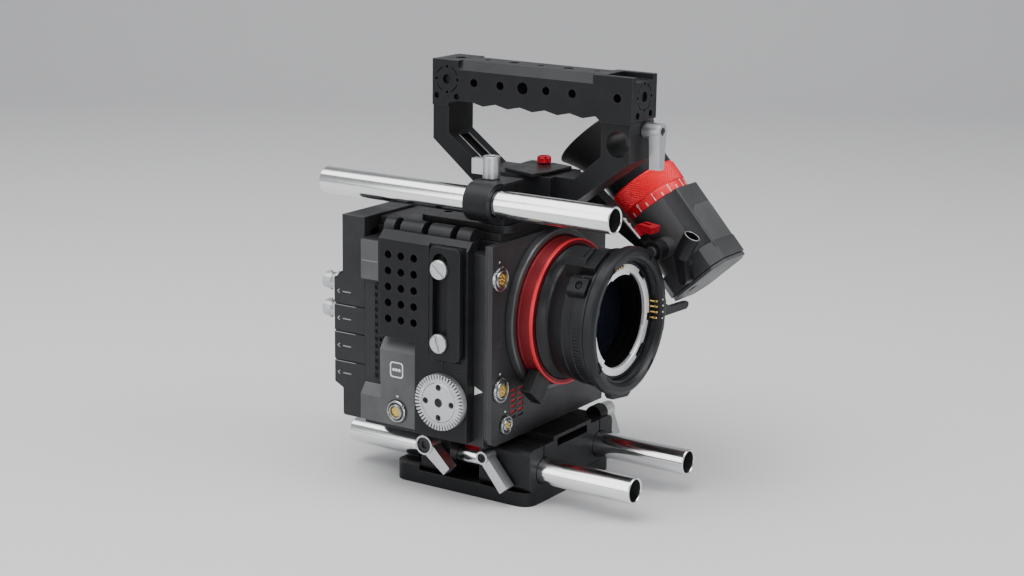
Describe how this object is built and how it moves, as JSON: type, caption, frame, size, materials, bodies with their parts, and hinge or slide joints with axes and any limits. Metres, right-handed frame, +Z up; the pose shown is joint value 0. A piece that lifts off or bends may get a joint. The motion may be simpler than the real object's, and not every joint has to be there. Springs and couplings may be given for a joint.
{
  "type": "cinema camera rig",
  "caption": "Box-shaped cinema camera with lens mount, top handle, tilting eyepiece viewfinder, side rosette and rail, and rod support base.",
  "frame": {"origin": "centre of the base plate's underside, on the vertical plane through the lens axis", "axes": "+Z up, -Y towards the lens, +X to the operator's left"},
  "size_m": [0.1755, 0.1996, 0.24],
  "materials": {
    "body_black": "satin black anodised aluminium",
    "body_charcoal": "fine matt charcoal coating",
    "panel_grey": "matt mid grey coating",
    "steel": "bead-blasted satin steel",
    "chrome": "polished",
    "red_metal": "bright red anodised",
    "gold_contacts": "gold plated contacts in an insulator",
    "dark_glass": "coated optical glass",
    "black_rubber": "soft matt moulded rubber",
    "black_plastic": "matt moulded plastic",
    "circuit_board": "solder mask green"
  },
  "bodies": {
    "camera": {"body_shell": "body_charcoal", "front_plate": "body_charcoal", "front_socket_upper": "chrome", "front_socket_middle": "chrome", "front_socket_lower": "chrome", "right_side_plate": "body_black", "slotted_rail": "body_black", "rail_screw_upper": "steel", "rail_screw_lower": "steel", "rosette": "steel", "power_panel": "panel_grey", "dc_socket": "chrome", "left_side_plate": "body_black", "media_card": "black_plastic", "top_cover": "body_charcoal", "back_module": "body_charcoal", "battery_plate": "body_black", "bnc_upper": "steel", "bnc_lower": "steel", "image_sensor": "circuit_board", "heat_sink": "steel", "main_board": "circuit_board", "mount_base_ring": "panel_grey", "mount_adapter": "body_black", "lens_flange": "chrome", "sensor_glass": "dark_glass", "top_plate": "body_black", "rod_clamp": "body_black", "top_handle": "body_black", "handle_top_cover": "body_charcoal", "handle_port_cover": "body_black", "base_block": "body_black"},
    "mount_ring": {"mount_locking_ring": "red_metal"},
    "lens_ring": {"lens_lock_ring": "body_black"},
    "record_key": {"record_button": "red_metal"},
    "battery_catch": {"battery_latch": "red_metal"},
    "fan": {"cooling_fan": "black_plastic"},
    "card_door": {"media_door": "black_plastic"},
    "front_handle_lever": {"handle_lever": "steel"},
    "upper_clamp_lever": {"rod_clamp_lever": "steel"},
    "upper_rod": {"top_rod": "chrome"},
    "finder_support": {"finder_cross_rod": "steel", "finder_arm": "body_black"},
    "finder": {"finder_housing": "body_charcoal", "finder_end_cover": "panel_grey", "finder_display": "dark_glass", "finder_barrel": "body_black", "eye_lens": "dark_glass"},
    "tilt_grip": {"finder_tilt_lever": "body_black"},
    "tilt_lock": {"finder_lock_lever": "red_metal"},
    "focus_ring": {"diopter_ring": "red_metal"},
    "eye_cushion": {"eyecup": "black_rubber"},
    "rod_right": {"lower_rod_right": "chrome"},
    "rod_left": {"lower_rod_left": "chrome"},
    "lever_front": {"base_lever_front": "steel"},
    "lever_rear": {"base_lever_rear": "steel"},
    "lever_left": {"base_lever_left": "steel"},
    "release_key": {"quick_release_button": "red_metal"},
    "dovetail_plate": {"base_plate": "body_black"},
    "port_screw": {"handle_thumbscrew": "red_metal"}
  },
  "joints": [
    {"name": "mount_ring_turn", "type": "hinge", "parent": "camera", "child": "mount_ring", "pos_m": [0, -0.037, 0.1035], "axis": [0, 1, 0], "range_deg": [-40, 0]},
    {"name": "lens_ring_turn", "type": "hinge", "parent": "camera", "child": "lens_ring", "pos_m": [0, -0.078, 0.1035], "axis": [0, 1, 0], "range_deg": [0, 50]},
    {"name": "record_press", "type": "slide", "parent": "camera", "child": "record_key", "axis": [-1, 0, 0], "range_m": [0, 0.0014], "stiffness_N_per_m": 350},
    {"name": "battery_latch_press", "type": "slide", "parent": "camera", "child": "battery_catch", "axis": [-1, 0, 0], "range_m": [0, 0.003], "stiffness_N_per_m": 350},
    {"name": "fan_spin", "type": "hinge", "parent": "camera", "child": "fan", "pos_m": [0, 0.019, 0.1035], "axis": [0, 1, 0], "continuous": true},
    {"name": "media_door_swing", "type": "hinge", "parent": "camera", "child": "card_door", "pos_m": [0.0692, 0.0275, 0.062], "axis": [0, 0, 1], "range_deg": [0, 95]},
    {"name": "handle_lever_turn", "type": "hinge", "parent": "camera", "child": "front_handle_lever", "pos_m": [0.005, -0.09, 0.21], "axis": [0, 1, 0], "range_deg": [-100, 100]},
    {"name": "rod_clamp_lever_turn", "type": "hinge", "parent": "camera", "child": "upper_clamp_lever", "pos_m": [-0.038, -0.014, 0.188], "axis": [0, 0, 1], "range_deg": [0, 120]},
    {"name": "upper_rod_slide", "type": "slide", "parent": "camera", "child": "upper_rod", "axis": [0, 1, 0], "range_m": [-0.085, 0.068]},
    {"name": "finder_slide", "type": "slide", "parent": "camera", "child": "finder_support", "axis": [1, 0, 0], "range_m": [0, 0.014]},
    {"name": "finder_tilt", "type": "hinge", "parent": "finder_support", "child": "finder", "pos_m": [0.045, -0.0755, 0.136], "axis": [1, 0, 0], "range_deg": [-6, 35]},
    {"name": "tilt_lever_turn", "type": "hinge", "parent": "finder", "child": "tilt_grip", "pos_m": [0.045, -0.091, 0.12], "axis": [1, 0, 0], "range_deg": [-4, 25]},
    {"name": "tilt_lock_turn", "type": "hinge", "parent": "finder_support", "child": "tilt_lock", "pos_m": [0.0375, -0.067, 0.1475], "axis": [1, 0, 0], "range_deg": [-100, 0]},
    {"name": "diopter_turn", "type": "hinge", "parent": "finder", "child": "focus_ring", "pos_m": [0.07, -0.0529, 0.1608], "axis": [0, 0.6652, 0.7466], "range_deg": [-60, 60]},
    {"name": "eyecup_turn", "type": "hinge", "parent": "finder", "child": "eye_cushion", "pos_m": [0.07, -0.03827, 0.17723], "axis": [0, 0.6652, 0.7466], "continuous": true},
    {"name": "lower_rod_right_slide", "type": "slide", "parent": "camera", "child": "rod_right", "axis": [0, 1, 0], "range_m": [-0.07, 0.055]},
    {"name": "lower_rod_left_slide", "type": "slide", "parent": "camera", "child": "rod_left", "axis": [0, 1, 0], "range_m": [-0.07, 0.055]},
    {"name": "base_lever_front_turn", "type": "hinge", "parent": "camera", "child": "lever_front", "pos_m": [-0.049, -0.02, 0.027], "axis": [1, 0, 0], "range_deg": [-45, 60]},
    {"name": "base_lever_rear_turn", "type": "hinge", "parent": "camera", "child": "lever_rear", "pos_m": [-0.049, 0.0195, 0.027], "axis": [1, 0, 0], "range_deg": [-40, 60]},
    {"name": "base_lever_left_turn", "type": "hinge", "parent": "camera", "child": "lever_left", "pos_m": [0.049, -0.038, 0.033], "axis": [1, 0, 0], "range_deg": [-40, 60]},
    {"name": "quick_release_press", "type": "slide", "parent": "camera", "child": "release_key", "axis": [1, 0, 0], "range_m": [0, 0.003], "stiffness_N_per_m": 350},
    {"name": "dovetail_slide", "type": "slide", "parent": "camera", "child": "dovetail_plate", "axis": [0, 1, 0], "range_m": [0, 0.03]},
    {"name": "port_screw_turn", "type": "hinge", "parent": "camera", "child": "port_screw", "pos_m": [0.011, -0.0167, 0.185], "axis": [0, 0, 1], "continuous": true}
  ]
}
